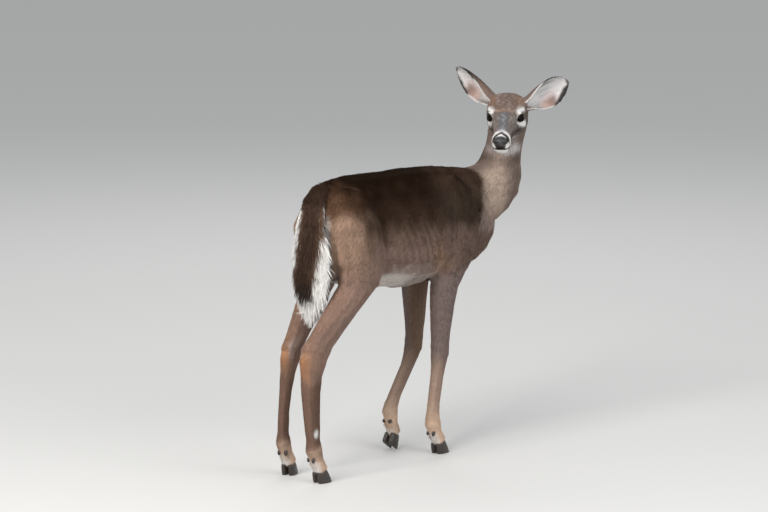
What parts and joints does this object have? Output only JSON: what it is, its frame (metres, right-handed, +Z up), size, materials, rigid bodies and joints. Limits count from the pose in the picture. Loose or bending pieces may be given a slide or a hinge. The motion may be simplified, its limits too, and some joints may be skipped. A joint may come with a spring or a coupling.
{
  "type": "white-tailed deer",
  "caption": "Life-size doe white-tailed deer, standing in winter coat with her head turned back over her right shoulder and one forefoot resting on its toes.",
  "frame": {"origin": "on the ground, under the middle of the animal's bounding box", "axes": "+X is the way the body faces, +Y is the animal's left and +Z is up"},
  "size_m": [1.1674, 0.3284, 1.1693],
  "materials": {
    "coat": "grey-brown winter hair",
    "leg_coat": "short tan hair",
    "pale_coat": "short white hair",
    "ear": "short hair over thin skin",
    "nose": "moist dark skin",
    "eye": "wet, very dark brown",
    "horn": "dark hoof horn"
  },
  "bodies": {
    "root": {"fore_right_shoulder": "coat", "fore_right_forearm": "coat", "fore_right_cannon": "leg_coat", "fore_right_pastern": "leg_coat", "fore_right_hoof_left": "horn", "fore_right_dewclaw_left": "horn", "fore_right_hoof_right": "horn", "fore_right_dewclaw_right": "horn", "fore_left_shoulder": "coat", "fore_left_forearm": "coat", "fore_left_cannon": "leg_coat", "fore_left_pastern": "leg_coat", "fore_left_hoof_left": "horn", "fore_left_dewclaw_left": "horn", "fore_left_hoof_right": "horn", "fore_left_dewclaw_right": "horn", "hind_right_thigh": "coat", "hind_right_gaskin": "coat", "hind_right_cannon": "leg_coat", "hind_right_pastern": "leg_coat", "hind_right_hoof_left": "horn", "hind_right_dewclaw_left": "horn", "hind_right_hoof_right": "horn", "hind_right_dewclaw_right": "horn", "hind_left_thigh": "coat", "hind_left_gaskin": "coat", "hind_left_cannon": "leg_coat", "hind_left_pastern": "leg_coat", "hind_left_hoof_left": "horn", "hind_left_dewclaw_left": "horn", "hind_left_hoof_right": "horn", "hind_left_dewclaw_right": "horn", "trunk": "coat", "neck": "coat", "tail": "coat", "head": "coat", "lower_jaw": "pale_coat", "nose": "nose", "eye_left": "eye", "eye_right": "eye", "ear_left": "ear", "ear_right": "ear"}
  },
  "joints": []
}
